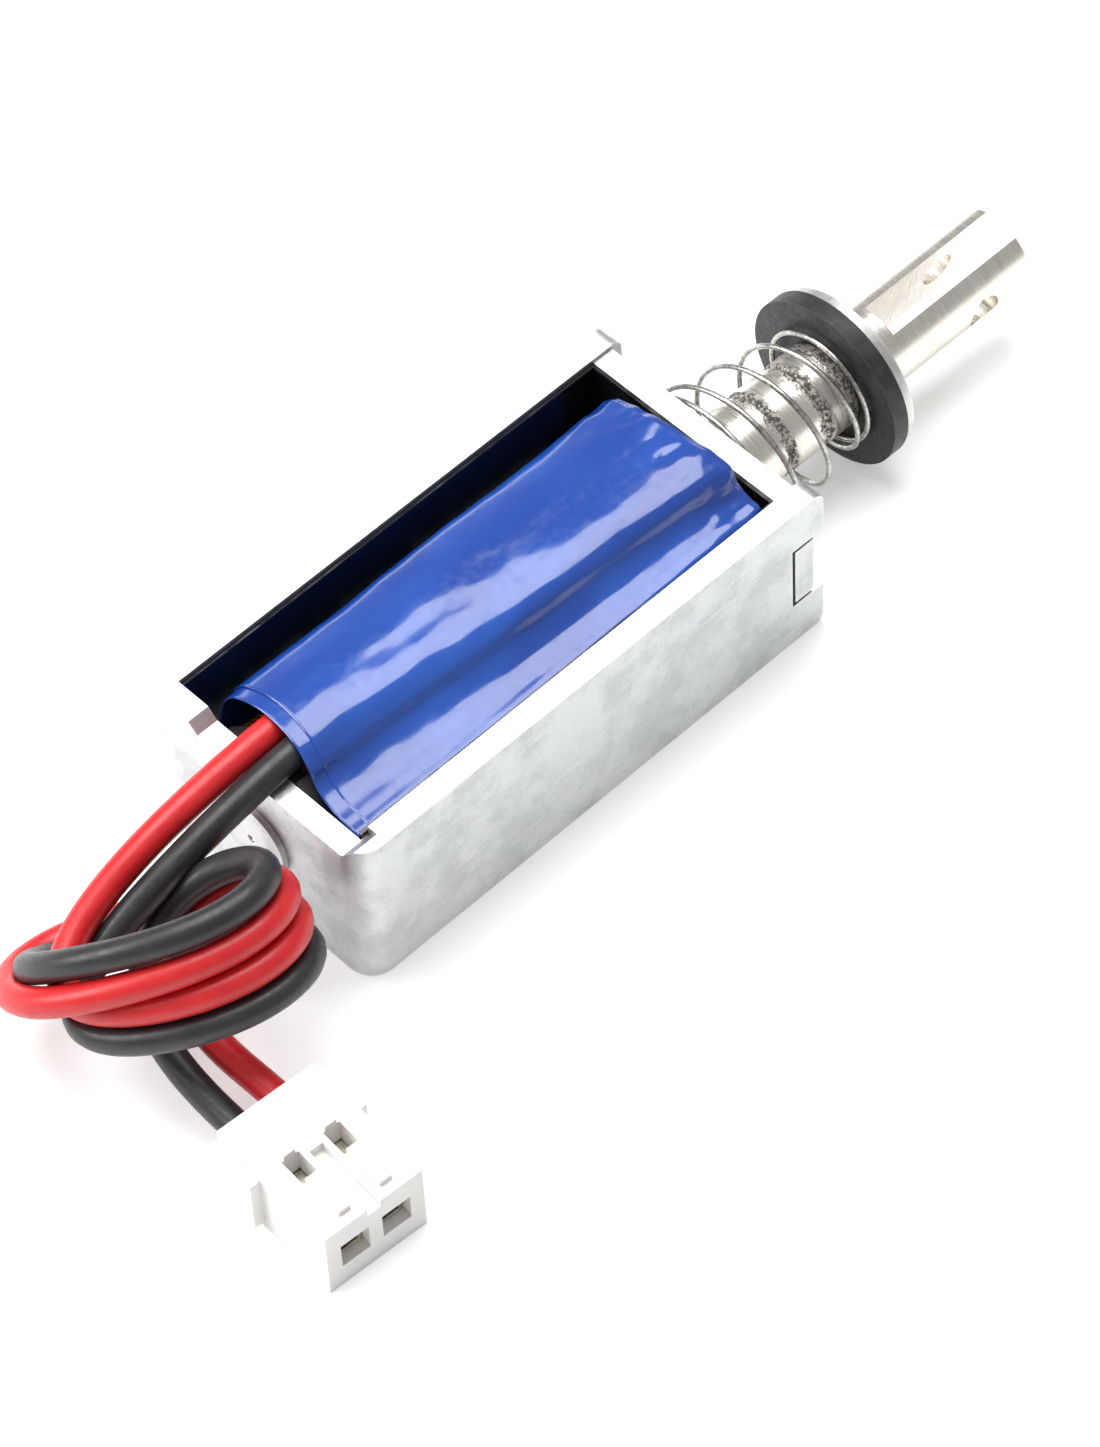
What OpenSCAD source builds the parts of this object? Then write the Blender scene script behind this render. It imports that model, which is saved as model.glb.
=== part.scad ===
// Open-frame push pull solenoid with a sprung clevis plunger and a plug-ended lead pair.
// Millimetres. +X runs out along the plunger and +Z is up. The origin is below the plunger's
// axis, on the surface that the frame stands on, halfway from rivet head to clevis tip.

/* [Yoke frame] */
// Length of the frame, from the rear plate to the ends of the legs
frame_len = 31.5; // [30:0.5:40]
// Width of the frame over both legs
frame_w = 15.5; // [15.5:0.1:18]
// Height of the frame's strip
frame_h = 10.3; // [10.3:0.1:13]
// Thickness of the steel strip
sheet_t = 1.3; // [1:0.05:1.4]
// Outside radius of the two bends
bend_r = 1.5; // [1.4:0.1:2.5]
// Radius of the corners at the legs' free ends
leg_corner_r = 0.7; // [0.3:0.1:1.2]
// Depth of the wire relief in the rear plate's top edge
relief_depth = 0.6; // [0.3:0.05:0.8]
// Width of the wire relief
relief_w = 10.2; // [6:0.1:11]
// Sideways place of the wire relief's middle
relief_y = -1.4; // [-2:0.1:0]
// Diameter of the two tapped holes in the left leg
side_hole_d = 2.5; // [1.6:0.1:3]
// Distance between the two tapped holes
side_hole_spacing = 15.5; // [12:0.5:17]

/* [Front plate] */
// Distance from the legs' ends back to the plate's front face
plate_setback = 0.7; // [0.4:0.1:1]
// How far the plate's edges lie inside the strip's edges
plate_drop = 0.25; // [0.1:0.05:0.5]
// Height of the tab that locks into each leg
tab_h = 4; // [3:0.1:5]
// Side gap round a tab in its notch
tab_gap = 0.2; // [0.1:0.05:0.3]

/* [Insulation, bobbin and coil] */
// Thickness of the insulating film
film_t = 0.2; // [0.1:0.05:0.3]
// Gap between the film and the bobbin's flanges
film_gap = 0.1; // [0.05:0.05:0.2]
// Thickness of a bobbin flange
flange_t = 0.8; // [0.6:0.1:1.2]
// How far the round flanges lie inside the strip's edges
flange_drop = 0.25; // [0.25:0.05:0.5]
// Wall of the bobbin's barrel
barrel_wall = 0.6; // [0.4:0.05:0.8]
// How far the winding lies below the flanges' edges
winding_drop = 0.3; // [0.2:0.05:0.6]
// Wall of the brass guide tube
tube_wall = 0.3; // [0.2:0.05:0.4]
// Length of guide tube that shows past the front plate
tube_lip = 0.3; // [0.1:0.05:0.6]
// Thickness of the tape sleeve
tape_t = 0.15; // [0.1:0.05:0.2]
// Height of the tape's ridge above the frame's top edge
tape_crown = 1.5; // [1.3:0.05:2]

/* [Fixed core] */
// Gap between the plunger's tail and the fixed core at rest
core_gap = 6.1; // [4:0.1:6.1]
// Diameter of the core's spigot through the rear plate
spigot_d = 3.4; // [2.6:0.1:3.8]
// Diameter of the riveted head on the rear plate
rivet_d = 4.6; // [4.2:0.1:5]
// Height of the riveted head
rivet_h = 0.35; // [0.2:0.05:0.5]

/* [Plunger] */
// Diameter of the plunger's body
plunger_d = 5; // [4.6:0.1:5]
// Radial running clearance of the plunger in its guide tube
plunger_fit = 0.05; // [0.03:0.01:0.1]
// Length of plunger inside the front plate's outer face
plunger_inside = 14.5; // [12:0.5:16]
// Length of plunger body that shows between front plate and washers
plunger_neck = 8.7; // [8.2:0.1:10]
// Step of the clevis end below the body, on the radius
shoulder_step = 0.1; // [0.05:0.01:0.2]
// Length from the washers' shoulder to the clevis tip
clevis_len = 13; // [12:0.5:18]
// Width of the clevis slot
slot_w = 2.1; // [1.2:0.1:2.4]
// Depth of the clevis slot from the tip
slot_depth = 9.4; // [7:0.1:9.6]
// Diameter of the clevis pin hole
pin_hole_d = 2; // [1.6:0.1:2.4]
// Distance from the pin hole to the clevis tip
pin_hole_inset = 3.6; // [3:0.1:4]
// Chamfer of the plunger's ends
end_chamfer = 0.35; // [0.2:0.05:0.5]
// Angle that the loose plunger is turned to about its own axis
plunger_roll = 10; // [0:1:20]
// Width of the two turned marks round the body
groove_w = 0.35; // [0.2:0.05:0.5]
// Depth of the turned marks
groove_depth = 0.12; // [0.05:0.01:0.2]

/* [Washers and clip] */
// Outside diameter of the rubber washer
rubber_d = 10; // [9:0.1:10]
// Thickness of the rubber washer
rubber_t = 1; // [0.8:0.1:1.2]
// Outside diameter of the steel washer
steel_d = 9.6; // [8.5:0.1:10]
// Thickness of the steel washer
steel_t = 0.6; // [0.4:0.1:0.8]
// Radial clearance of the washers on the clevis end
washer_fit = 0.05; // [0.03:0.01:0.1]
// Outside diameter of the retaining clip
clip_d = 7.6; // [7:0.1:8]
// Thickness of the retaining clip
clip_t = 0.5; // [0.4:0.05:0.6]
// Depth of the clip's groove
clip_groove = 0.5; // [0.3:0.05:0.6]

/* [Return spring] */
// Diameter of the spring wire
spring_wire = 0.3; // [0.2:0.05:0.4]
// Mean radius of the coil that lies on the front plate
spring_r_plate = 4.8; // [4:0.1:5]
// Mean radius of the coil at the rubber washer
spring_r_washer = 3.35; // [3.1:0.05:3.8]
// Number of free turns between the two closed ones
spring_turns = 3; // [2:1:4]

/* [Leads and plug] */
// Outside diameter of a lead
lead_d = 1.6; // [1.5:0.05:1.65]
// Height of the bundle of turns in the lead coil
coil_h = 6.8; // [6.6:0.1:7]
// Width of the plug housing's body
plug_w = 5.9; // [5.4:0.1:6.5]
// Length of the plug housing
plug_len = 8.1; // [7.5:0.1:9]
// Height of the plug housing
plug_h = 4.6; // [4.2:0.1:5]
// Width over the plug housing's rear wings
wing_w = 7.1; // [6.8:0.1:8]
// Length of the rear wings
wing_len = 3.2; // [2:0.1:4]
// Distance between the two contacts
pitch = 2.5; // [2.3:0.1:2.6]
// Side of a contact's square cavity
cavity = 1.7; // [1.5:0.05:1.8]
// Wall of a crimp contact's box
contact_wall = 0.2; // [0.15:0.05:0.25]

/* [Hidden] */
$fn = 64;

// overshoot of a cutting tool past the face that it cuts
cut = 0.5;
// smallest gap left between pieces that only lie beside each other
seat = 0.02;

// frame planes
plate_front = frame_len - plate_setback;
whole_len = rivet_h + plate_front + plunger_neck + clevis_len;
rear_x = rivet_h - whole_len / 2;
legs_x = rear_x + frame_len;
rear_in_x = rear_x + sheet_t;
plate_front_x = rear_x + plate_front;
plate_rear_x = plate_front_x - sheet_t;
inner_half = frame_w / 2 - sheet_t;
axis_z = frame_h / 2;
notch_h = tab_h + 2 * tab_gap;
relief_z = frame_h - relief_depth;

// guide tube, bobbin and winding
tube_r = plunger_d / 2 + plunger_fit;
tube_out_r = tube_r + tube_wall;
barrel_in_r = tube_out_r + seat;
barrel_out_r = barrel_in_r + barrel_wall;
flange_r = axis_z - flange_drop;
bobbin_x0 = rear_in_x + film_gap;
bobbin_x1 = plate_rear_x - film_t - film_gap;
winding_r = flange_r - winding_drop;
winding_x0 = bobbin_x0 + flange_t + seat;
winding_x1 = bobbin_x1 - flange_t - seat;

// the tape sleeve's section: winding, left shoulder and the ridge over the joints
ridge_r = 1.15;
ridge_y = -3.2;
ridge_z = frame_h + tape_crown - ridge_r;
shoulder_r = 3.3;
shoulder_y = 1.2;
shoulder_drop = 0.25;
shoulder_z = frame_h + tape_crown - shoulder_drop - shoulder_r;
tape_r = flange_r + seat + tape_t;
tape_x0 = bobbin_x0 + 0.5;
tape_x1 = bobbin_x1;

// plunger stations along X
tail_x = plate_front_x - plunger_inside;
shoulder_x = plate_front_x + plunger_neck;
tip_x = shoulder_x + clevis_len;
clevis_r = plunger_d / 2 - shoulder_step;
steel_x = shoulder_x + rubber_t;
clip_x = steel_x + steel_t + seat;
slot_x = tip_x - slot_depth;
pin_x = tip_x - pin_hole_inset;
clip_in_r = clevis_r - clip_groove;
core_x = tail_x - core_gap;
groove_1_x = plate_front_x + 3.9;
groove_2_x = groove_1_x + 2.6;

// spring
spring_x0 = plate_front_x + spring_wire / 2 + seat;
spring_x1 = shoulder_x - spring_wire / 2 - seat;

// lead coil: an oval of two runs and two round ends, leaned on the frame's rear
coil_at = [rear_x - 8.5, -2.6, 7.3];
coil_lean = [-21, -22, -49];
coil_end_r = 4.8;
coil_run = 7.4;

// plug
plug_at = [rear_x - 9.8, -11.2, 0];
plug_turn = -4;
plug_floor = 1.4;
cavity_z = 2.3;

// lead routes, with x counted from the rear plate's outer face
red_exit = [[4.2, 0.9, 10.55], [1.9, 0.9, 10.55], [-0.4, 0.9, 10.6], [-2.2, 0.9, 10.6],
  [-4, 0.8, 10.6], [-5.8, 0.5, 10.5], [-8.1, 1, 9.2], [-9.9, 1.6, 7.6], [-11.6, 1.9, 6.1],
  [-13.5, 1.6, 5.4], [-14.9, 0.5, 5.4], [-15.3, -1.2, 6], [-14.5, -2.9, 6.8]];
black_exit = [[4.2, -0.8, 10.55], [1.9, -0.8, 10.55], [-0.4, -0.8, 10.6], [-2.2, -0.9, 10.6],
  [-4.1, -1, 10.4], [-6.3, -1.3, 9.7], [-7.8, -0.9, 8.6], [-9.1, -0.3, 7.3], [-10.4, 0.3, 5.8],
  [-11.9, 0.6, 4.6], [-13.6, 0.4, 3.9], [-14.9, -0.6, 3.9], [-15.3, -2.1, 4.5],
  [-14.6, -3.7, 5.3]];
red_tail = [[-2.9, -1.9, 7.6], [-4.4, -1.2, 7], [-6.1, -1, 6.1], [-7.3, -1, 4.9],
  [-8.5, -1.7, 4], [-9.5, -3.1, 3.6], [-9.9, -4.5, 3.5], [-9.6, -6, 3.2], [-9, -7.8, 2.7],
  [-8.5, -9.6, 2.4], [-8.5, -11.3, 2.3], [-8.6, -13.1, 2.3]];
black_tail = [[-3.2, -0.8, 8.9], [-4.7, 0, 8.3], [-6.4, 0.5, 7.4], [-7.7, 0.6, 6],
  [-9.1, 0.4, 4.7], [-10.3, -0.8, 3.6], [-11.2, -2.6, 3.2], [-11.6, -4.5, 3.2],
  [-11.5, -6.2, 2.9], [-11.3, -7.9, 2.5], [-11, -9.6, 2.3], [-11, -11.1, 2.3],
  [-11.1, -12.9, 2.3]];

// unit vector of v
function unit(v) = v / norm(v);

// direction of a route at its point i
function heading(path, i) =
  let (n = len(path) - 1)
  unit(path[min(n, i + 1)] - path[max(0, i - 1)]);

// one ring of a swept tube, square to the route
function ring(centre, dir, r, sides) =
  let (side = unit(cross(dir, abs(dir[2]) < 0.9 ? [0, 0, 1] : [0, 1, 0])),
       up = cross(side, dir))
  [for (k = [0 : sides - 1]) centre + r * (cos(360 * k / sides) * side + sin(360 * k / sides) * up)];

// a tube swept along a route
module sweep(path, r, sides) {
  n = len(path);
  points = [for (i = [0 : n - 1]) each ring(path[i], heading(path, i), r, sides)];
  skin = [for (i = [0 : n - 2], k = [0 : sides - 1])
    let (a = i * sides + k, b = i * sides + (k + 1) % sides)
    each [[a, a + sides, b + sides], [a, b + sides, b]]];
  start = [[for (k = [0 : sides - 1]) k]];
  finish = [[for (k = [0 : sides - 1]) n * sides - 1 - k]];
  polyhedron(points, concat(skin, start, finish));
}

// a round bar along X from x0 to x1
module bar_x(x0, x1, r) {
  translate([x0, 0, axis_z]) rotate([0, 90, 0]) cylinder(r = r, h = x1 - x0);
}

// a round tube along X from x0 to x1
module tube_x(x0, x1, r_out, r_in) {
  difference() {
    bar_x(x0, x1, r_out);
    bar_x(x0 - cut, x1 + cut, r_in);
  }
}

// plan of the bent strip: two round outer corners, sharp inner ones, open at the front
module yoke_plan() {
  difference() {
    union() {
      translate([rear_x + bend_r, -frame_w / 2]) square([frame_len - bend_r, frame_w]);
      translate([rear_x, -frame_w / 2 + bend_r]) square([2 * bend_r, frame_w - 2 * bend_r]);
      for (s = [-1, 1]) translate([rear_x + bend_r, s * (frame_w / 2 - bend_r)]) circle(bend_r);
    }
    translate([rear_in_x, -inner_half]) square([frame_len, 2 * inner_half]);
  }
}

// side view of the strip, with its free ends rounded
module yoke_side() {
  translate([rear_x - cut, 0]) square([frame_len + cut - leg_corner_r, frame_h]);
  translate([rear_x - cut, leg_corner_r]) square([frame_len + cut, frame_h - 2 * leg_corner_r]);
  for (z = [leg_corner_r, frame_h - leg_corner_r]) {
    translate([legs_x - leg_corner_r, z]) circle(leg_corner_r);
  }
}

// notch for the front plate's tabs, open at the legs' ends
module tab_notches() {
  translate([plate_rear_x - tab_gap, -frame_w / 2 - cut, axis_z - notch_h / 2])
    cube([frame_len, frame_w + 2 * cut, notch_h]);
}

// wire relief across the rear plate's top edge, with sloping ends
module wire_relief() {
  slope = relief_depth;
  translate([rear_x - cut, relief_y, relief_z]) rotate([90, 0, 90])
    linear_extrude(sheet_t + 2 * cut)
      polygon([[-relief_w / 2, 0], [relief_w / 2, 0],
               [relief_w / 2 + slope + cut, relief_depth + cut],
               [-relief_w / 2 - slope - cut, relief_depth + cut]]);
}

module side_holes() {
  for (s = [-1, 1]) {
    translate([rear_x + (frame_len + s * side_hole_spacing) / 2, inner_half - cut, axis_z])
      rotate([-90, 0, 0])
      cylinder(d = side_hole_d, h = sheet_t + 2 * cut);
  }
}

module yoke_frame() {
  color("silver") difference() {
    intersection() {
      linear_extrude(frame_h) yoke_plan();
      translate([0, frame_w / 2 + cut, 0]) rotate([90, 0, 0])
        linear_extrude(frame_w + 2 * cut) yoke_side();
    }
    tab_notches();
    wire_relief();
    side_holes();
    bar_x(rear_x - cut, rear_in_x + cut, spigot_d / 2 + seat);
  }
}

module front_plate() {
  color("gainsboro") difference() {
    union() {
      translate([plate_rear_x, -inner_half + seat, plate_drop])
        cube([sheet_t, 2 * (inner_half - seat), frame_h - 2 * plate_drop]);
      translate([plate_rear_x, -frame_w / 2, axis_z - tab_h / 2]) cube([sheet_t, frame_w, tab_h]);
    }
    bar_x(plate_rear_x - cut, plate_front_x + cut, tube_out_r + seat);
  }
}

// film folded round the inside of both legs and the front plate
module insulation_film() {
  length = plate_rear_x - seat - bobbin_x0;
  height = frame_h - 2 * plate_drop;
  color("black") difference() {
    translate([bobbin_x0, -inner_half + seat, plate_drop])
      cube([length, 2 * (inner_half - seat), height]);
    translate([bobbin_x0 - cut, -inner_half + film_t + seat, 0])
      cube([length - film_t + cut, 2 * (inner_half - film_t - seat), frame_h]);
    bar_x(plate_rear_x - 2 * cut, plate_rear_x + cut, tube_out_r + seat);
  }
}

module bobbin() {
  color("dimgray") difference() {
    union() {
      bar_x(bobbin_x0, bobbin_x1, barrel_out_r);
      bar_x(bobbin_x0, bobbin_x0 + flange_t, flange_r);
      bar_x(bobbin_x1 - flange_t, bobbin_x1, flange_r);
    }
    bar_x(bobbin_x0 - cut, bobbin_x1 + cut, barrel_in_r);
    translate([bobbin_x0 - cut, -1.8, relief_z - 0.2]) cube([flange_t + 2 * cut, 3.6, flange_r]);
  }
}

module guide_tube() {
  color("goldenrod") tube_x(rear_in_x + seat, plate_front_x + tube_lip, tube_out_r, tube_r);
}

// soft iron stop, riveted over behind the rear plate
module fixed_core() {
  nose = 0.3;
  color("slategray") union() {
    bar_x(rear_in_x + seat, core_x - nose, plunger_d / 2);
    translate([core_x - nose, 0, axis_z]) rotate([0, 90, 0])
      cylinder(r1 = plunger_d / 2, r2 = plunger_d / 2 - nose, h = nose);
    bar_x(rear_x - seat, rear_in_x + seat, spigot_d / 2);
    difference() {
      bar_x(rear_x - rivet_h, rear_x - seat, rivet_d / 2);
      translate([rear_x - rivet_h, 0, axis_z]) sphere(d = rivet_h * 1.4);
    }
  }
}

module coil_winding() {
  color("sienna") tube_x(winding_x0, winding_x1, winding_r, barrel_out_r + seat);
}

// outline of the tape wrap, grown by g
module tape_outline(g) {
  hull() {
    translate([0, axis_z]) circle(tape_r + g - tape_t);
    translate([shoulder_y, shoulder_z]) circle(shoulder_r + g - tape_t);
    translate([ridge_y, ridge_z]) circle(ridge_r + g - tape_t, $fn = 32);
  }
}

module coil_tape() {
  color("royalblue") translate([tape_x0, 0, 0]) rotate([90, 0, 90])
    linear_extrude(tape_x1 - tape_x0) difference() {
      tape_outline(tape_t);
      tape_outline(0);
    }
}

// sleeved joints between winding ends and leads
module solder_joints() {
  joint_r = 0.55;
  joint_len = 4;
  for (path = [red_exit, black_exit]) {
    color("ivory")
      translate([rear_x + path[0][0] + seat, path[0][1], axis_z + winding_r + joint_r + seat])
      rotate([0, 90, 0]) cylinder(r = joint_r, h = joint_len);
  }
}

module lead(path) {
  translate([rear_x, 0, 0]) sweep(path, lead_d / 2, 8);
}

module lead_red_exit() { color("crimson") lead(red_exit); }
module lead_black_exit() { color("black") lead(black_exit); }
module lead_red_tail() { color("crimson") lead(red_tail); }
module lead_black_tail() { color("black") lead(black_tail); }

// plan of the oval coil: two runs joined by round ends
module coil_oval(r) {
  square([coil_run, 2 * r], center = true);
  for (s = [-1, 1]) translate([s * coil_run / 2, 0]) circle(r);
}

// outer shape of the two turns of each lead
module lead_coil() {
  wall = lead_d / 2 + 0.05;
  color("firebrick") translate(coil_at) rotate(coil_lean) translate([0, 0, -coil_h / 2])
    linear_extrude(coil_h) difference() {
      coil_oval(coil_end_r + wall);
      coil_oval(coil_end_r - wall);
    }
}

// places things in the plug's own frame: +X to its mating end
module at_plug() {
  translate(plug_at) rotate([0, 0, plug_turn - 90]) children();
}

module plug_shell() {
  translate([0, -plug_w / 2, 0]) cube([plug_len, plug_w, plug_h]);
  translate([0, -wing_w / 2, 0.5]) cube([wing_len, wing_w, plug_h - 1.1]);
  for (s = [-1, 1]) translate([wing_len, s * pitch / 2 - 0.35, plug_h - 0.01])
    cube([plug_len - wing_len - 0.6, 0.7, 0.35]);
}

module plug_housing() {
  color("white") at_plug() difference() {
    plug_shell();
    for (s = [-1, 1]) {
      translate([-cut, s * pitch / 2 - cavity / 2, cavity_z - cavity / 2])
        cube([plug_len + 2 * cut, cavity, cavity]);
      translate([3.4, s * pitch / 2 - 0.5, cavity_z]) cube([1.6, 1, plug_h]);
    }
    translate([wing_len + 0.6, -0.4, plug_h - 0.5]) cube([plug_len, 0.8, plug_h]);
  }
}

// folded box contacts, one in each cavity
module crimp_contacts() {
  box = cavity - 2 * 0.1;
  inner = box - 2 * contact_wall;
  for (s = [-1, 1]) {
    color("khaki") at_plug() translate([2, s * pitch / 2, cavity_z]) difference() {
      translate([0, -box / 2, -box / 2]) cube([plug_len - 2.6, box, box]);
      translate([1.6, -inner / 2, -inner / 2]) cube([plug_len, inner, inner]);
      translate([-cut, -inner / 2, -inner / 2]) cube([1.2 + cut, inner, box]);
    }
  }
}

module washer(x, d, t) {
  tube_x(x, x + t, d / 2, clevis_r + washer_fit);
}

module rubber_washer() { color("black") washer(shoulder_x + seat, rubber_d, rubber_t - seat); }
module steel_washer() { color("lightgray") washer(steel_x, steel_d, steel_t); }

// turned profile of the plunger, from its tail to its tip
module plunger_blank() {
  r = plunger_d / 2;
  c = end_chamfer;
  g = groove_w / 2;
  d = groove_depth;
  translate([0, 0, axis_z]) rotate([0, 90, 0]) rotate_extrude() polygon([
    [0, tail_x], [r - c, tail_x], [r, tail_x + c],
    [r, groove_1_x - g], [r - d, groove_1_x], [r, groove_1_x + g],
    [r, groove_2_x - g], [r - d, groove_2_x], [r, groove_2_x + g],
    [r, shoulder_x - shoulder_step], [clevis_r, shoulder_x],
    [clevis_r, clip_x], [clip_in_r, clip_x], [clip_in_r, clip_x + clip_t + 2 * seat],
    [clevis_r, clip_x + clip_t + 2 * seat],
    [clevis_r, tip_x - c], [clevis_r - c, tip_x], [0, tip_x]]);
}

module plunger() {
  color("whitesmoke") translate([0, 0, axis_z]) rotate([plunger_roll, 0, 0])
    translate([0, 0, -axis_z]) difference() {
      plunger_blank();
      translate([slot_x, -slot_w / 2, 0]) cube([slot_depth + cut, slot_w, frame_h]);
      translate([pin_x, plunger_d, axis_z]) rotate([90, 0, 0])
        cylinder(d = pin_hole_d, h = 2 * plunger_d);
    }
}

// E-shaped clip, open on one side
module retaining_clip() {
  x0 = clip_x + seat;
  in_r = clip_in_r + seat;
  color("darkgray") difference() {
    tube_x(x0, x0 + clip_t, clip_d / 2, in_r);
    translate([x0 - cut, -clip_d, axis_z - in_r * 0.8])
      cube([clip_t + 2 * cut, clip_d, in_r * 1.6]);
  }
}

// conical spring with a closed turn at each end
function spring_point(turn) =
  let (free = spring_turns,
       t = min(1, max(0, (turn - 1) / free)),
       lift = turn < 1 ? turn * spring_wire * 1.1
            : turn > free + 1 ? (turn - free - 1) * spring_wire * 1.1 : 0,
       span = spring_x1 - spring_x0 - 2.2 * spring_wire,
       x = spring_x0 + (turn < 1 ? lift : spring_wire * 1.1 + t * span + lift),
       r = spring_r_plate + (spring_r_washer - spring_r_plate) * t)
  [x, r * sin(360 * turn), axis_z - r * cos(360 * turn)];

module return_spring() {
  steps = 14;
  turns = spring_turns + 2;
  path = [for (i = [0 : steps * turns]) spring_point(i / steps)];
  color("gray") sweep(path, spring_wire / 2, 6);
}

yoke_frame();
front_plate();
insulation_film();
bobbin();
guide_tube();
fixed_core();
coil_winding();
coil_tape();
solder_joints();
lead_red_exit();
lead_black_exit();
lead_coil();
lead_red_tail();
lead_black_tail();
plug_housing();
crimp_contacts();
rubber_washer();
steel_washer();
plunger();
retaining_clip();
return_spring();
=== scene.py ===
import math

import bmesh
import bpy
from mathutils import Matrix, Vector, noise


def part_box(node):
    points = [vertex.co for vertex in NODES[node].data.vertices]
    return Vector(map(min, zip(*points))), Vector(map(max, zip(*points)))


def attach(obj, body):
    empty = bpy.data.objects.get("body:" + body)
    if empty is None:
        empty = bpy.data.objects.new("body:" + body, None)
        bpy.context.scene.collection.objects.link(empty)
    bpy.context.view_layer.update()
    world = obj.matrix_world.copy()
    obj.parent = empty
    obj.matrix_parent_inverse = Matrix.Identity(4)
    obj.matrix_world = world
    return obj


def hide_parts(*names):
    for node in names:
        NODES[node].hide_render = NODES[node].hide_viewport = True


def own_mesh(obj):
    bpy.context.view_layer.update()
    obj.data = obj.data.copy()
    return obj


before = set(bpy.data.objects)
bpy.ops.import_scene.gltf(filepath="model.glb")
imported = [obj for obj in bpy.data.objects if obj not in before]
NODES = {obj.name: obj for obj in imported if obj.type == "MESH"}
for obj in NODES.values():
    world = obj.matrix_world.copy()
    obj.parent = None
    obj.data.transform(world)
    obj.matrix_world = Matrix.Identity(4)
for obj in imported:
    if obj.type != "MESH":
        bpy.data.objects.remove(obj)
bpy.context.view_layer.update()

MM = 0.001


# ---------------------------------------------------------------- places from the frame

yoke_lo, yoke_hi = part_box("yoke_frame")
REAR_X = yoke_lo.x
AXIS_Z = (yoke_lo.z + yoke_hi.z) / 2
PLATE_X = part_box("front_plate")[1].x
WASHER_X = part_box("rubber_washer")[0].x


def at(x, y, z):
    """A point given in mm, x from the rear plate's outer face, y from the middle, z from the base."""
    return Vector((REAR_X + x * MM, y * MM, z * MM))


# ---------------------------------------------------------------- camera

def make_camera():
    target = at(12.838, -7.484, 8.829)
    distance = 308.3 * MM
    azimuth, elevation, roll = (math.radians(a) for a in (-131.482, 53.408, -3.444))
    back = Vector((math.cos(elevation) * math.cos(azimuth),
                   math.cos(elevation) * math.sin(azimuth),
                   math.sin(elevation)))
    side = (-back).cross(Vector((0, 0, 1))).normalized()
    up = side.cross(-back)
    level_x = math.cos(roll) * side + math.sin(roll) * up
    level_y = -math.sin(roll) * side + math.cos(roll) * up
    turn = Matrix((level_x, level_y, back)).transposed().to_4x4()
    data = bpy.data.cameras.new("camera")
    data.sensor_width = 36
    data.lens = 158.45
    data.clip_start, data.clip_end = 0.01, 5
    camera = bpy.data.objects.new("camera", data)
    camera.matrix_world = Matrix.Translation(target + back * distance) @ turn
    bpy.context.scene.collection.objects.link(camera)
    bpy.context.scene.camera = camera


# ---------------------------------------------------------------- leads

# mm, with the coil's place given as at() takes it
LEAD_D = 1.6
COIL_AT = Vector((-8.5, -2.6, 7.3))
COIL_TURN = (Matrix.Rotation(math.radians(-49), 3, "Z")
             @ Matrix.Rotation(math.radians(-22), 3, "Y")
             @ Matrix.Rotation(math.radians(-21), 3, "X"))
COIL_RUN = 7.4
COIL_END_R = 4.8

RED_EXIT = [(4.2, 0.9, 10.55), (1.9, 0.9, 10.55), (-0.4, 0.9, 10.6), (-2.2, 0.9, 10.6),
            (-4, 0.8, 10.6), (-5.8, 0.5, 10.5), (-8.1, 1, 9.2), (-9.9, 1.6, 7.6),
            (-11.6, 1.9, 6.1), (-13.5, 1.6, 5.4), (-14.9, 0.5, 5.4), (-15.3, -1.2, 6),
            (-14.5, -2.9, 6.8)]
BLACK_EXIT = [(4.2, -0.8, 10.55), (1.9, -0.8, 10.55), (-0.4, -0.8, 10.6), (-2.2, -0.9, 10.6),
              (-4.1, -1, 10.4), (-6.3, -1.3, 9.7), (-7.8, -0.9, 8.6), (-9.1, -0.3, 7.3),
              (-10.4, 0.3, 5.8), (-11.9, 0.6, 4.6), (-13.6, 0.4, 3.9), (-14.9, -0.6, 3.9),
              (-15.3, -2.1, 4.5), (-14.6, -3.7, 5.3)]
RED_TAIL = [(-2.9, -1.9, 7.6), (-4.4, -1.2, 7), (-6.1, -1, 6.1), (-7.3, -1, 4.9),
            (-8.5, -1.7, 4), (-9.5, -3.1, 3.6), (-9.9, -4.5, 3.5), (-9.6, -6, 3.2),
            (-9, -7.8, 2.7), (-8.5, -9.6, 2.4), (-8.5, -11.3, 2.3), (-8.6, -13.1, 2.3)]
BLACK_TAIL = [(-3.2, -0.8, 8.9), (-4.7, 0, 8.3), (-6.4, 0.5, 7.4), (-7.7, 0.6, 6),
              (-9.1, 0.4, 4.7), (-10.3, -0.8, 3.6), (-11.2, -2.6, 3.2), (-11.6, -4.5, 3.2),
              (-11.5, -6.2, 2.9), (-11.3, -7.9, 2.5), (-11, -9.6, 2.3), (-11, -11.1, 2.3),
              (-11.1, -12.9, 2.3)]

# turns of a lead in the coil: share of the oval gone round, level, and how far it stands
# outside the oval; 0 is the front run's left end, and each whole number is one turn
RED_TURNS = [(0, -0.85, 0), (0.66, -0.85, 0), (0.78, -0.4, 1.2), (0.88, 0.2, 1.7),
             (1, 0.7, 0.9), (1.1, 0.85, 0), (1.52, 0.85, 0)]
BLACK_TURNS = [(0, -2.55, 0), (0.66, -2.55, 0), (0.78, -0.9, -0.4), (0.88, 1.2, -0.6),
               (1, 2.5, -0.2), (1.1, 2.55, 0), (1.46, 2.55, 0)]
TURN_POINTS = 26
# rounds of averaging that take the kinks out of a lead's control points
RELAX_ROUNDS = 12


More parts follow.
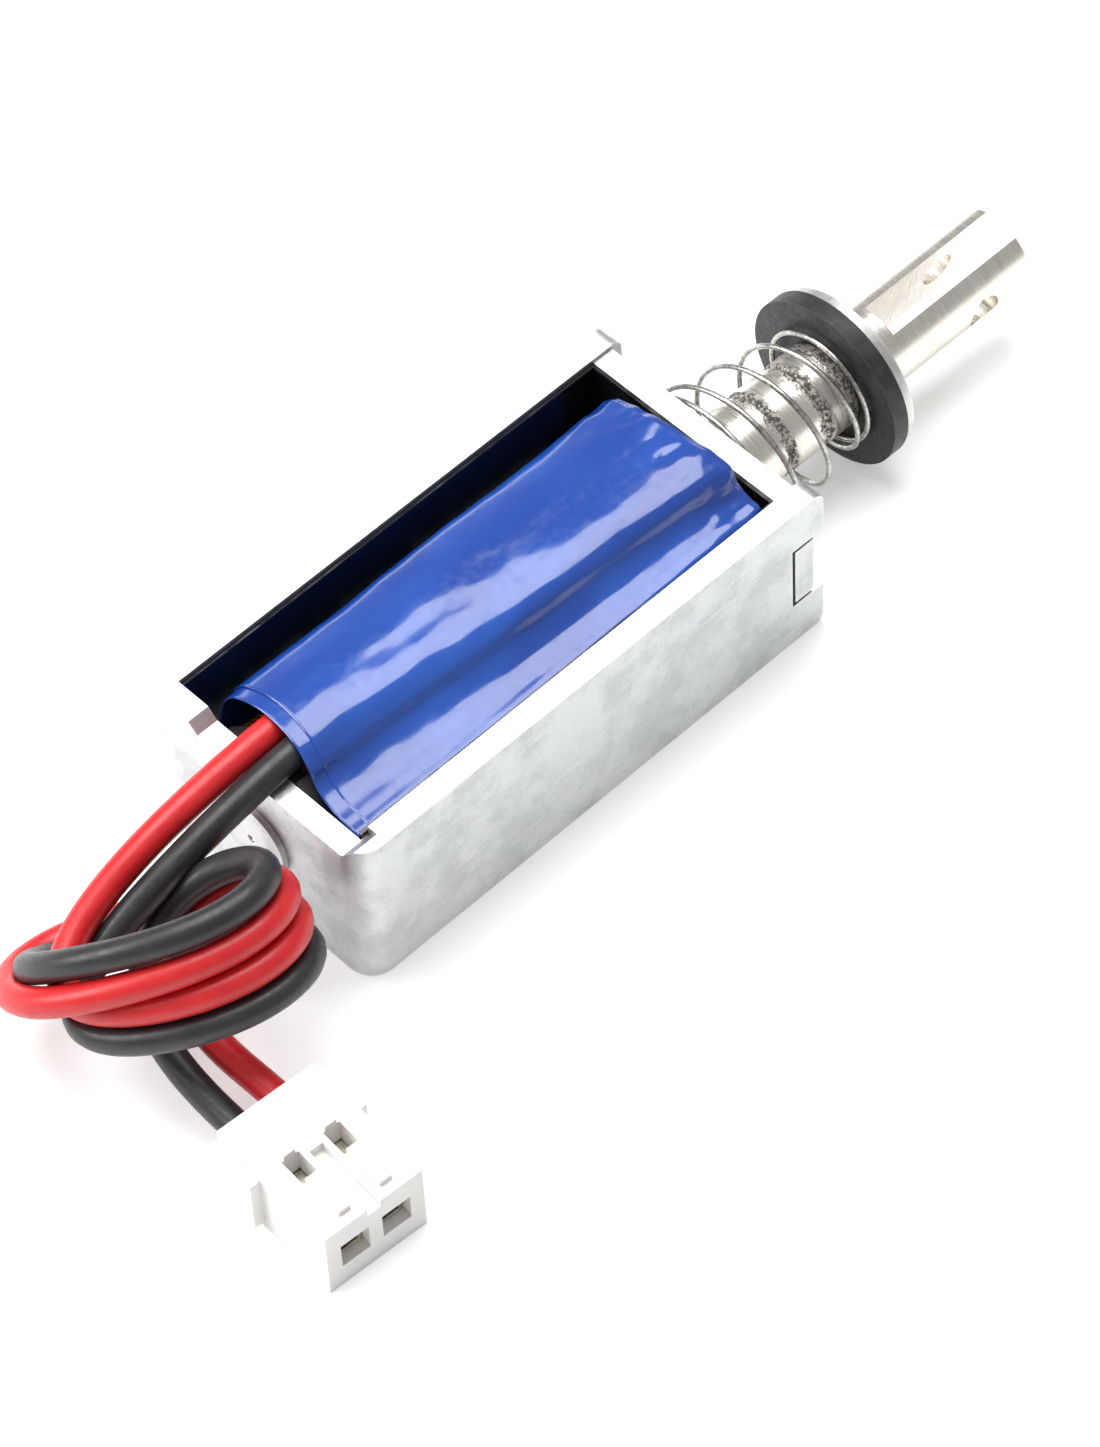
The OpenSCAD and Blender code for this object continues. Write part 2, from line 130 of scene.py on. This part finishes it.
def oval_point(share, level, outside):
    """A point on the lead coil's oval centre-line, in the coil's own axes."""
    run, bend = COIL_RUN, math.pi * COIL_END_R
    s = (share % 1) * 2 * (run + bend)
    r = COIL_END_R + outside
    if s < run:
        return Vector((-run / 2 + s, -r, level))
    if s < run + bend:
        angle = (s - run) / COIL_END_R - math.pi / 2
        return Vector((run / 2 + r * math.cos(angle), r * math.sin(angle), level))
    if s < 2 * run + bend:
        return Vector((run / 2 - (s - run - bend), r, level))
    angle = (s - 2 * run - bend) / COIL_END_R + math.pi / 2
    return Vector((-run / 2 + r * math.cos(angle), r * math.sin(angle), level))


def smooth(t):
    return t * t * (3 - 2 * t)


def between(stations, s):
    """Level and outside offset at share s, eased between the stations of a lead's turns."""
    for (s0, *a), (s1, *b) in zip(stations, stations[1:]):
        if s <= s1:
            t = smooth((s - s0) / (s1 - s0))
            return [p + (q - p) * t for p, q in zip(a, b)]
    return stations[-1][1:]


def lead_route(exit_points, stations, tail_points):
    """Control points of one lead, from its joint through its turns to the plug."""
    points = [at(*p) for p in exit_points[:-1]]
    last = stations[-1][0]
    steps = round(last * TURN_POINTS)
    for i in range(steps + 1):
        s = last * i / steps
        points.append(at(*(COIL_AT + COIL_TURN @ oval_point(s, *between(stations, s)))))
    points += [at(*p) for p in tail_points[1:]]
    for _ in range(RELAX_ROUNDS):
        points[2:-3] = [(a + 2 * b + c) / 4
                        for a, b, c in zip(points[1:], points[2:-3], points[3:])]
    return points


def spline_length(obj):
    """Length of a curve's centre-line, in metres."""
    bare = obj.data.copy()
    bare.bevel_depth = 0
    probe = bpy.data.objects.new("probe", bare)
    bpy.context.scene.collection.objects.link(probe)
    mesh = probe.evaluated_get(bpy.context.evaluated_depsgraph_get()).to_mesh()
    co = [v.co.copy() for v in mesh.vertices]
    bpy.data.objects.remove(probe)
    bpy.data.curves.remove(bare)
    return sum((b - a).length for a, b in zip(co, co[1:]))


def lead(name, points):
    """One lead as an open spline. Its thickness is in the points' radii, so the box stays true."""
    curve = bpy.data.curves.new(name, "CURVE")
    curve.dimensions = "3D"
    curve.bevel_depth = 1
    curve.bevel_resolution = 6
    curve.resolution_u = 6
    curve.use_fill_caps = True
    spline = curve.splines.new("NURBS")
    spline.points.add(len(points) - 1)
    for point, place in zip(spline.points, points):
        point.co = (*place, 1)
        point.radius = LEAD_D / 2 * MM
    spline.order_u = 4
    spline.use_endpoint_u = True
    obj = bpy.data.objects.new(name, curve)
    bpy.context.scene.collection.objects.link(obj)
    return obj


def make_leads():
    red = lead("red_lead", lead_route(RED_EXIT, RED_TURNS, RED_TAIL))
    black = lead("black_lead", lead_route(BLACK_EXIT, BLACK_TURNS, BLACK_TAIL))
    for obj, slot, start in ((red, "red_insulation", RED_EXIT),
                             (black, "black_insulation", BLACK_EXIT)):
        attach(obj, "stator")
        length = spline_length(obj)
        print(obj.name, "length_mm", round(length / MM, 1))
    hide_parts("lead_red_exit", "lead_red_tail", "lead_coil")
    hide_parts("lead_black_exit", "lead_black_tail")
    return red, black


make_camera()
red_lead, black_lead = make_leads()


# ---------------------------------------------------------------- materials

class Finish:
    """A material with the nodes that most finishes share. Texture space is in millimetres."""

    def __init__(self, name, color, metallic=0.0, roughness=0.5, **sockets):
        self.material = bpy.data.materials.new(name)
        self.material.use_nodes = True
        tree = self.material.node_tree
        self.nodes, self.links = tree.nodes, tree.links
        self.shader = self.nodes["Principled BSDF"]
        self.set("Base Color", (*color, 1))
        self.set("Metallic", metallic)
        self.set("Roughness", roughness)
        for socket, value in sockets.items():
            self.set(socket.replace("_", " "), value)
        coordinates = self.nodes.new("ShaderNodeTexCoord").outputs["Object"]
        self.space = self.scaled(coordinates, (1 / MM,) * 3)

    def set(self, socket, value):
        self.shader.inputs[socket].default_value = value

    def scaled(self, vector, scale, turn=(0, 0, 0)):
        node = self.nodes.new("ShaderNodeMapping")
        node.inputs["Scale"].default_value = scale
        node.inputs["Rotation"].default_value = turn
        self.links.new(vector, node.inputs["Vector"])
        return node.outputs["Vector"]

    def noise(self, scale, detail=3.0, stretch=(1, 1, 1), turn=(0, 0, 0), roughness=0.5):
        node = self.nodes.new("ShaderNodeTexNoise")
        node.inputs["Scale"].default_value = scale
        node.inputs["Detail"].default_value = detail
        node.inputs["Roughness"].default_value = roughness
        self.links.new(self.scaled(self.space, stretch, turn), node.inputs["Vector"])
        return node.outputs["Fac"]

    def along(self, axis):
        """One coordinate of the texture space, in millimetres."""
        node = self.nodes.new("ShaderNodeSeparateXYZ")
        self.links.new(self.space, node.inputs["Vector"])
        return node.outputs[axis]

    def math(self, operation, a, b=0.0, c=0.0):
        node = self.nodes.new("ShaderNodeMath")
        node.operation = operation
        for socket, value in zip(node.inputs, (a, b, c)):
            if isinstance(value, (int, float)):
                socket.default_value = value
            else:
                self.links.new(value, socket)
        return node.outputs[0]

    def remap(self, value, low, high, to_low=0.0, to_high=1.0):
        node = self.nodes.new("ShaderNodeMapRange")
        node.interpolation_type = "SMOOTHSTEP"
        for socket, number in zip(("From Min", "From Max", "To Min", "To Max"),
                                  (low, high, to_low, to_high)):
            node.inputs[socket].default_value = number
        self.links.new(value, node.inputs["Value"])
        return node.outputs["Result"]

    def band(self, value, centre, half, soft):
        """1 within half of centre, easing to 0 over soft."""
        away = self.math("ABSOLUTE", self.math("SUBTRACT", value, centre))
        return self.remap(away, half, half + soft, 1.0, 0.0)

    def mix(self, amount, a, b):
        node = self.nodes.new("ShaderNodeMix")
        node.data_type = "RGBA"
        for name, value in (("Factor", amount), ("A", a), ("B", b)):
            socket = next(s for s in node.inputs if s.name == name and
                          (s.type == "RGBA") == (name != "Factor") and s.enabled)
            if isinstance(value, tuple):
                socket.default_value = (*value, 1)
            elif isinstance(value, (int, float)):
                socket.default_value = value
            else:
                self.links.new(value, socket)
        return next(s for s in node.outputs if s.type == "RGBA" and s.enabled)

    def edges(self, radius):
        """1 on corners and edges within radius mm, 0 on flat faces."""
        bevel = self.nodes.new("ShaderNodeBevel")
        bevel.samples = 4
        bevel.inputs["Radius"].default_value = radius * MM
        normal = self.nodes.new("ShaderNodeNewGeometry").outputs["Normal"]
        dot = self.nodes.new("ShaderNodeVectorMath")
        dot.operation = "DOT_PRODUCT"
        self.links.new(bevel.outputs["Normal"], dot.inputs[0])
        self.links.new(normal, dot.inputs[1])
        return self.remap(dot.outputs["Value"], 0.999, 0.93)

    def bump(self, height, strength, depth, below=None):
        node = self.nodes.new("ShaderNodeBump")
        node.inputs["Strength"].default_value = strength
        node.inputs["Distance"].default_value = depth * MM
        self.links.new(height, node.inputs["Height"])
        if below is not None:
            self.links.new(below, node.inputs["Normal"])
        return node.outputs["Normal"]

    def to(self, socket, value):
        self.links.new(value, self.shader.inputs[socket])


def zinc_material(name="zinc_plate", light=(0.62, 0.635, 0.645), dark=(0.36, 0.375, 0.385)):
    f = Finish(name, light, metallic=0.9, roughness=0.42)
    cloud = f.remap(f.noise(0.45, 4, roughness=0.6), 0.38, 0.66)
    grain = f.noise(5.5, 3, roughness=0.7)
    specks = f.remap(grain, 0.6, 0.72)
    scratches = f.remap(f.noise(1.6, 2, stretch=(0.12, 3.5, 3.5), turn=(0, 0.5, 0.2)), 0.62, 0.7)
    # edges lightened toward pale grey: a painted edge highlight, partly burnished wear
    lighter_edges = f.edges(0.22)
    base = f.mix(f.math("MULTIPLY", cloud, 0.35), light, dark)
    base = f.mix(f.math("MULTIPLY", specks, 0.45), base, dark)
    base = f.mix(f.math("MULTIPLY", scratches, 0.35), base, (0.8, 0.81, 0.82))
    base = f.mix(f.math("MULTIPLY", lighter_edges, 0.6), base, (0.82, 0.83, 0.84))
    f.to("Base Color", base)
    f.to("Roughness", f.remap(f.math("ADD", grain, f.math("MULTIPLY", cloud, 0.2)),
                              0.35, 0.85, 0.32, 0.55))
    f.to("Normal", f.bump(grain, 0.35, 0.02, f.bump(f.noise(1.1, 2), 0.25, 0.05)))
    return f.material


def nickel_material(grooves):
    """Turned nickel plate, with dark bands at the turned marks and where the rod leaves the washer; by
    the washer the band is painted ring shadow together with brown residue.
    """
    f = Finish("nickel_plate", (0.74, 0.7, 0.64), metallic=0.95, roughness=0.28)
    rings = f.noise(1.2, 3, stretch=(9, 0.4, 0.4))
    cloud = f.remap(f.noise(0.7, 3), 0.35, 0.7)
    base = f.mix(f.math("MULTIPLY", cloud, 0.3), (0.8, 0.765, 0.7), (0.58, 0.545, 0.49))
    grit = f.remap(f.noise(4.5, 3, roughness=0.7), 0.42, 0.56)
    ragged = f.math("MULTIPLY", f.math("SUBTRACT", f.noise(2.2, 2), 0.5), 0.9)
    x = f.math("ADD", f.along("X"), ragged)
    # dark bands: at the turned marks, and by the washers painted ring shadow together with brown
    # residue
    dirt_and_shade = None
    for centre, half in grooves:
        mark = f.band(x, centre, half, 0.28)
        dirt_and_shade = mark if dirt_and_shade is None else f.math("MAXIMUM", dirt_and_shade, mark)
    dirt_and_shade = f.math("MULTIPLY", dirt_and_shade, f.math("ADD", f.math("MULTIPLY", grit, 0.65), 0.3))
    base = f.mix(dirt_and_shade, base, (0.05, 0.038, 0.03))
    f.to("Base Color", base)
    f.to("Metallic", f.remap(dirt_and_shade, 0.1, 0.6, 0.95, 0.1))
    f.to("Roughness", f.math("ADD", f.remap(rings, 0.3, 0.7, 0.2, 0.36),
                             f.math("MULTIPLY", dirt_and_shade, 0.4)))
    f.to("Normal", f.bump(rings, 0.2, 0.015, f.bump(f.math("MULTIPLY", dirt_and_shade, grit), 0.6, 0.08)))
    return f.material


def tape_material():
    f = Finish("polyester_tape", (0.012, 0.06, 0.33), roughness=0.16,
               Coat_Weight=0.5, Coat_Roughness=0.08)
    cloud = f.remap(f.noise(0.22, 2, stretch=(0.5, 1, 1)), 0.35, 0.7)
    fine = f.noise(2.5, 3)
    f.to("Base Color", f.mix(cloud, (0.008, 0.05, 0.3), (0.016, 0.085, 0.42)))
    f.to("Roughness", f.remap(fine, 0.3, 0.75, 0.12, 0.26))
    f.to("Normal", f.bump(f.noise(0.55, 2, stretch=(0.5, 1, 1)), 0.3, 0.12,
                          f.bump(fine, 0.06, 0.02)))
    return f.material


def film_material():
    f = Finish("black_film", (0.006, 0.006, 0.008), roughness=0.1, Coat_Weight=0.3, Coat_Roughness=0.05)
    dust = f.remap(f.noise(6, 2), 0.68, 0.76)
    f.to("Base Color", f.mix(f.math("MULTIPLY", dust, 0.3), (0.006, 0.006, 0.008), (0.1, 0.1, 0.1)))
    f.to("Roughness", f.remap(f.noise(0.8, 3), 0.3, 0.7, 0.06, 0.2))
    f.to("Normal", f.bump(f.noise(0.25, 2, stretch=(1, 1, 0.6)), 0.35, 0.3))
    return f.material


def plastic_material(name, color, other, roughness, grain=3.0, **sockets):
    f = Finish(name, color, roughness=roughness, **sockets)
    cloud = f.remap(f.noise(0.5, 3), 0.3, 0.7)
    fine = f.noise(grain, 3, roughness=0.6)
    f.to("Base Color", f.mix(cloud, color, other))
    f.to("Roughness", f.remap(fine, 0.3, 0.7, roughness - 0.06, roughness + 0.08))
    f.to("Normal", f.bump(fine, 0.2, 0.03))
    return f.material


def rubber_material():
    f = Finish("black_rubber", (0.018, 0.018, 0.019), roughness=0.5)
    fine = f.noise(5, 4, roughness=0.7)
    lighter_edges = f.edges(0.12)
    base = f.mix(f.remap(f.noise(1.1, 3), 0.4, 0.75), (0.014, 0.014, 0.015), (0.034, 0.034, 0.034))
    f.to("Base Color", f.mix(f.math("MULTIPLY", lighter_edges, 0.4), base, (0.09, 0.088, 0.085)))
    f.to("Roughness", f.remap(fine, 0.3, 0.7, 0.4, 0.62))
    f.to("Normal", f.bump(fine, 0.35, 0.03))
    return f.material


def spring_material():
    f = Finish("spring_wire", (0.5, 0.49, 0.47), metallic=1.0, roughness=0.3)
    drawn = f.noise(4, 3, roughness=0.65)
    f.to("Base Color", f.mix(f.remap(drawn, 0.4, 0.72), (0.56, 0.55, 0.53), (0.28, 0.26, 0.24)))
    f.to("Roughness", f.remap(f.noise(1.5, 2), 0.3, 0.7, 0.22, 0.4))
    f.to("Normal", f.bump(drawn, 0.15, 0.01))
    return f.material


def winding_material():
    f = Finish("enamelled_wire", (0.3, 0.09, 0.03), roughness=0.25, metallic=0.3)
    wave = f.nodes.new("ShaderNodeTexWave")
    wave.inputs["Scale"].default_value = 0.9
    wave.inputs["Distortion"].default_value = 0.3
    f.links.new(f.space, wave.inputs["Vector"])
    f.to("Base Color", f.mix(wave.outputs["Fac"], (0.12, 0.035, 0.012), (0.42, 0.14, 0.05)))
    f.to("Normal", f.bump(wave.outputs["Fac"], 0.6, 0.08))
    return f.material


def brass_material(name="brass", light=(0.72, 0.55, 0.24), dark=(0.45, 0.32, 0.13)):
    f = Finish(name, light, metallic=1.0, roughness=0.28)
    cloud = f.remap(f.noise(0.8, 3), 0.35, 0.7)
    f.to("Base Color", f.mix(cloud, light, dark))
    f.to("Roughness", f.remap(f.noise(3, 3), 0.3, 0.7, 0.22, 0.42))
    f.to("Normal", f.bump(f.noise(6, 2, stretch=(4, 1, 1)), 0.1, 0.01))
    return f.material


# ---------------------------------------------------------------- pieces

BEVEL_SEGMENTS = 2
BEVEL_ANGLE = math.radians(38)


def dress(obj, material, bevel=None):
    """Gives a piece one material and, where asked, rounded edges (mm)."""
    obj.data.materials.clear()
    obj.data.materials.append(material)
    if bevel:
        edge = obj.modifiers.new("rounded_edges", "BEVEL")
        edge.width = bevel * MM
        edge.segments = BEVEL_SEGMENTS
        edge.limit_method = "ANGLE"
        edge.angle_limit = BEVEL_ANGLE
    return obj


def mesh_piece(name, verts, faces, material, body, replaced=()):
    """A new piece from vertices and faces, riding on a body in place of the replaced nodes."""
    mesh = bpy.data.meshes.new(name)
    mesh.from_pydata([tuple(v) for v in verts], [], faces)
    mesh.validate()
    shell = bmesh.new()
    shell.from_mesh(mesh)
    bmesh.ops.recalc_face_normals(shell, faces=shell.faces)
    shell.to_mesh(mesh)
    shell.free()
    for polygon in mesh.polygons:
        polygon.use_smooth = True
    obj = bpy.data.objects.new(name, mesh)
    bpy.context.scene.collection.objects.link(obj)
    dress(obj, material)
    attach(obj, body)
    if replaced:
        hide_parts(*replaced)
    return obj


def loop_points(keys, count):
    """A closed smooth curve through the keys, as count points."""
    n = len(keys)
    points = []
    for i in range(count):
        s = i * n / count
        k, t = int(s), s - int(s)
        p0, p1, p2, p3 = (Vector(keys[(k + j) % n]) for j in (-1, 0, 1, 2))
        points.append(0.5 * (2 * p1 + (p2 - p0) * t + (2 * p0 - 5 * p1 + 4 * p2 - p3) * t * t
                             + (3 * p1 - p0 - 3 * p2 + p3) * t ** 3))
    return points


# the tape sleeve's section (y, z in mm) at its rear and front ends
TAPE_REAR = [(0, 0.1), (2.6, 0.8), (4.4, 2.6), (5.07, 5.15), (5.0, 7.2), (4.6, 9.0),
             (3.75, 10.55), (1.8, 11.5), (0.1, 11.62), (-1.35, 11.4), (-2.2, 10.75),
             (-2.75, 9.95), (-3.9, 9.5), (-5.2, 9.45), (-6.2, 9.35), (-6.34, 8.3),
             (-5.6, 6.4), (-5.1, 4.9), (-4.4, 2.6), (-2.6, 0.8)]
TAPE_FRONT = [(0, 0.1), (2.6, 0.8), (4.4, 2.6), (5.07, 5.15), (4.95, 7.3), (4.5, 9.2),
              (3.5, 10.7), (1.5, 11.6), (-0.9, 11.95), (-3.1, 12.05), (-4.1, 11.85),
              (-4.6, 11.05), (-5.05, 10.6), (-5.6, 10.35), (-6.2, 10.15), (-6.36, 9.2),
              (-5.7, 6.9), (-5.1, 4.9), (-4.4, 2.6), (-2.6, 0.8)]
TAPE_AROUND = 320
TAPE_ALONG = 150
TAPE_WALL = 0.08
# ends of the two layers along X (mm), and how far the outer one stands off the inner one
TAPE_INNER_X = (2.35, 28.2)
TAPE_OUTER_X = (3.15, 28.0)
TAPE_LIFT = 0.1
# ripples run outward from this middle, above a height, and the sleeve stops short of the film
TAPE_MIDDLE_Y, TAPE_MIDDLE_Z = 0.0, 6.5
RIPPLE_FROM_Z = 7.5
RIGHT_LIMIT_Y = -6.42
# where the front edge's own ripple starts, as a share of the length
FRONT_RIPPLE_FROM = 0.84


def tape_point(around, t, x0, x1, lift):
    """A point of the sleeve: around is an index, t runs from its rear edge to its front edge."""
    y, z = TAPE_LOOPS[0][around] * (1 - t) + TAPE_LOOPS[1][around] * t
    skew_rear = -0.9 * smooth(min(1, max(0, (1.5 - y) / 7.5)))
    skew_front = 0.5 * smooth(min(1, max(0, (1.5 - y) / 8)))
    x = x0 + (x1 - x0) * t + skew_rear * (1 - t) + skew_front * t
    ripple = 0.09 * noise.noise(Vector((x * 0.16, y * 0.5, z * 0.5)))
    ripple += 0.035 * noise.noise(Vector((x * 0.6, y * 0.9, z * 0.9 + 7)))
    front = smooth(max(0, (t - FRONT_RIPPLE_FROM) / 0.16))
    ripple += 0.16 * front * noise.noise(Vector((x * 0.9, y * 1.3, z * 1.3 + 3)))
    reach = Vector((y - TAPE_MIDDLE_Y, z - TAPE_MIDDLE_Z))
    out = reach.normalized() * (lift + (ripple if z > RIPPLE_FROM_Z else 0))
    y, z = y + out.x, z + out.y
    return at(x, max(y, RIGHT_LIMIT_Y), z)


def sleeve(name, x0, x1, lift, replaced=()):
    """One layer of the tape, from x0 to x1, standing lift mm off the section keys."""
    verts = [tape_point(k, i / TAPE_ALONG, x0, x1, lift)
             for i in range(TAPE_ALONG + 1) for k in range(TAPE_AROUND)]
    faces = []
    for i in range(TAPE_ALONG):
        for k in range(TAPE_AROUND):
            a, b = i * TAPE_AROUND + k, i * TAPE_AROUND + (k + 1) % TAPE_AROUND
            faces.append((a, b, b + TAPE_AROUND, a + TAPE_AROUND))
    obj = mesh_piece(name, verts, faces, MATERIALS["tape"], "stator", replaced)
    wall = obj.modifiers.new("thickness", "SOLIDIFY")
    wall.thickness = TAPE_WALL * MM
    wall.offset = -1


def make_tape():
    sleeve("tape_inner_layer", *TAPE_INNER_X, 0.0, ("coil_tape",))
    sleeve("tape_outer_layer", *TAPE_OUTER_X, TAPE_LIFT)


# the return spring (mm): wire radius, mean radii at its two ends, rise of a closed end turn,
# free turns between the closed ones, and gap to its seats
SPRING_WIRE_R = 0.15
SPRING_R_PLATE = 4.8
SPRING_R_WASHER = 3.35
SPRING_CLOSED = 0.33
SPRING_FREE = 3
SPRING_GAP = 0.02
SPRING_STEPS = 64
SPRING_SIDES = 12


def spring_centres():
    """Centre-line of the spring, with one closed turn at each end."""
    x0 = PLATE_X / MM + SPRING_WIRE_R + SPRING_GAP
    x1 = WASHER_X / MM - SPRING_WIRE_R - SPRING_GAP
    centres = []
    for i in range(SPRING_STEPS * (SPRING_FREE + 2) + 1):
        turn = i / SPRING_STEPS
        t = min(1, max(0, (turn - 1) / SPRING_FREE))
        if turn < 1:
            lift = turn * SPRING_CLOSED
        else:
            lift = SPRING_CLOSED + max(0, turn - SPRING_FREE - 1) * SPRING_CLOSED
        x = x0 + lift + t * (x1 - x0 - 2 * SPRING_CLOSED)
        r = SPRING_R_PLATE + (SPRING_R_WASHER - SPRING_R_PLATE) * t
        angle = math.tau * turn
        centres.append(Vector((x * MM, r * math.sin(angle) * MM,
                               AXIS_Z - r * math.cos(angle) * MM)))
    return centres


def make_spring():
    """Round wire, closed at both ends and widest on the front plate."""
    wire, sides = SPRING_WIRE_R, SPRING_SIDES
    centres = spring_centres()
    verts, faces = [], []
    for i, centre in enumerate(centres):
        ahead = (centres[min(i + 1, len(centres) - 1)] - centres[max(i - 1, 0)]).normalized()
        outward = Vector((0, centre.y, centre.z - AXIS_Z)).normalized()
        across = ahead.cross(outward).normalized()
        outward = across.cross(ahead)
        for k in range(sides):
            a = math.tau * k / sides
            verts.append(centre + wire * MM * (math.cos(a) * outward + math.sin(a) * across))
    for i in range(len(centres) - 1):
        for k in range(sides):
            a, b = i * sides + k, i * sides + (k + 1) % sides
            faces.append((a, b, b + sides, a + sides))
    faces.append(tuple(range(sides)))
    faces.append(tuple(range((len(centres) - 1) * sides, len(centres) * sides)))
    obj = mesh_piece("conical_spring", verts, faces, MATERIALS["spring"], "stator",
                     ("return_spring",))
    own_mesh(obj)


# the turned marks on the plunger (mm): first one from the front plate, and the next from it
MARK_FROM_PLATE = 3.9
MARK_SPACING = 2.6


def make_materials():
    """Every material of the scene by a short name."""
    mark = PLATE_X / MM + MARK_FROM_PLATE
    washer_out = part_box("steel_washer")[1].x / MM
    # dark bands on the plunger (centre and half width, mm): two at the turned marks, and two by the
    # washers that are painted ring shadow with brown residue
    dirt_and_shade_bands = ((mark, 0.22), (mark + MARK_SPACING, 0.22), (washer_out + 0.3, 0.3),
             (WASHER_X / MM - 0.2, 0.25))
    return {
        "zinc": zinc_material(),
        "washer_zinc": zinc_material("zinc_washer", (0.66, 0.65, 0.63), (0.3, 0.29, 0.28)),
        "nickel": nickel_material(dirt_and_shade_bands),
        "tape": tape_material(),
        "film": film_material(),
        "red": plastic_material("red_pvc", (0.56, 0.012, 0.016), (0.64, 0.02, 0.024), 0.36),
        "black": plastic_material("black_pvc", (0.017, 0.017, 0.019), (0.028, 0.028, 0.031), 0.38),
        "nylon": plastic_material("white_nylon", (0.86, 0.855, 0.84), (0.8, 0.795, 0.775), 0.42,
                                  Subsurface_Weight=0.15, Subsurface_Scale=0.001),
        "bobbin": plastic_material("bobbin_plastic", (0.02, 0.02, 0.021),
                                   (0.035, 0.035, 0.035), 0.45),
        "sleeve": plastic_material("joint_sleeve", (0.75, 0.72, 0.62), (0.6, 0.58, 0.5), 0.4),
        "rubber": rubber_material(),
        "spring": spring_material(),
        "winding": winding_material(),
        "brass": brass_material(),
        "tinned": brass_material("tinned_brass", (0.74, 0.71, 0.6), (0.5, 0.47, 0.38)),
    }


def dress_cad():
    """Material and rounded edges (mm) for the pieces that keep their CAD shape."""
    plan = {
        "yoke_frame": ("zinc", 0.16), "front_plate": ("zinc", 0.12), "insulation_film": ("film", None),
        "bobbin": ("bobbin", 0.08), "guide_tube": ("brass", None), "fixed_core": ("zinc", 0.06),
        "coil_winding": ("winding", None), "solder_joints": ("sleeve", 0.1),
        "plug_housing": ("nylon", 0.12), "crimp_contacts": ("tinned", None),
        "rubber_washer": ("rubber", 0.12), "steel_washer": ("washer_zinc", 0.1),
        "plunger": ("nickel", 0.06), "retaining_clip": ("washer_zinc", 0.06),
    }
    for node, (finish, bevel) in plan.items():
        dress(NODES[node], MATERIALS[finish], bevel)


# ---------------------------------------------------------------- stage and light

# metres, metres below the part, and how much the floor glows for the camera and in reflections
FLOOR_HALF = 0.6
FLOOR_DROP = 0.00001
FLOOR_GLOW = 0.3
WORLD_STRENGTH = 0.42


def make_floor():
    half = FLOOR_HALF
    mesh = bpy.data.meshes.new("floor")
    level = min(yoke_lo.z, 0) - FLOOR_DROP
    mesh.from_pydata([(-half, -half, level), (half, -half, level), (half, half, level),
                      (-half, half, level)], [], [(0, 1, 2, 3)])
    floor = bpy.data.objects.new("floor", mesh)
    bpy.context.scene.collection.objects.link(floor)
    material = bpy.data.materials.new("pale_floor")
    material.use_nodes = True
    nodes, links = material.node_tree.nodes, material.node_tree.links
    shader = nodes["Principled BSDF"]
    shader.inputs["Base Color"].default_value = (0.9, 0.9, 0.9, 1)
    shader.inputs["Roughness"].default_value = 0.85
    shader.inputs["Specular IOR Level"].default_value = 0.15
    shader.inputs["Emission Color"].default_value = (1, 1, 1, 1)
    path = nodes.new("ShaderNodeLightPath")
    seen = nodes.new("ShaderNodeMath")
    seen.operation = "MAXIMUM"
    links.new(path.outputs["Is Camera Ray"], seen.inputs[0])
    links.new(path.outputs["Is Glossy Ray"], seen.inputs[1])
    glow = nodes.new("ShaderNodeMath")
    glow.operation = "MULTIPLY"
    glow.inputs[1].default_value = FLOOR_GLOW
    links.new(seen.outputs[0], glow.inputs[0])
    links.new(glow.outputs[0], shader.inputs["Emission Strength"])
    mesh.materials.append(material)


def area_light(name, place, aim, size, power):
    """A white lamp of the given size (m) and power (W), turned to aim."""
    data = bpy.data.lights.new(name, "AREA")
    data.shape = "RECTANGLE"
    data.size, data.size_y = size
    data.energy = power
    light = bpy.data.objects.new(name, data)
    light.location = place
    light.rotation_mode = "QUATERNION"
    light.rotation_quaternion = (Vector(aim) - Vector(place)).to_track_quat("-Z", "Y")
    bpy.context.scene.collection.objects.link(light)


def make_light():
    world = bpy.data.worlds.new("world")
    bpy.context.scene.world = world
    world.use_nodes = True
    background = world.node_tree.nodes["Background"]
    background.inputs["Color"].default_value = (1, 1, 1, 1)
    background.inputs["Strength"].default_value = WORLD_STRENGTH
    centre = (-0.01, 0, 0.006)
    area_light("top_box", (0.02, 0.10, 0.42), centre, (0.4, 0.3), 2.2)
    area_light("side_box", (-0.3, 0.25, 0.22), centre, (0.2, 0.2), 1.0)


def main():
    dress_cad()
    red_lead.data.materials.append(MATERIALS["red"])
    black_lead.data.materials.append(MATERIALS["black"])
    make_tape()
    make_spring()
    make_floor()
    make_light()
    bpy.context.scene.view_settings.view_transform = "Standard"


TAPE_LOOPS = [loop_points(keys, TAPE_AROUND) for keys in (TAPE_REAR, TAPE_FRONT)]
MATERIALS = make_materials()
main()
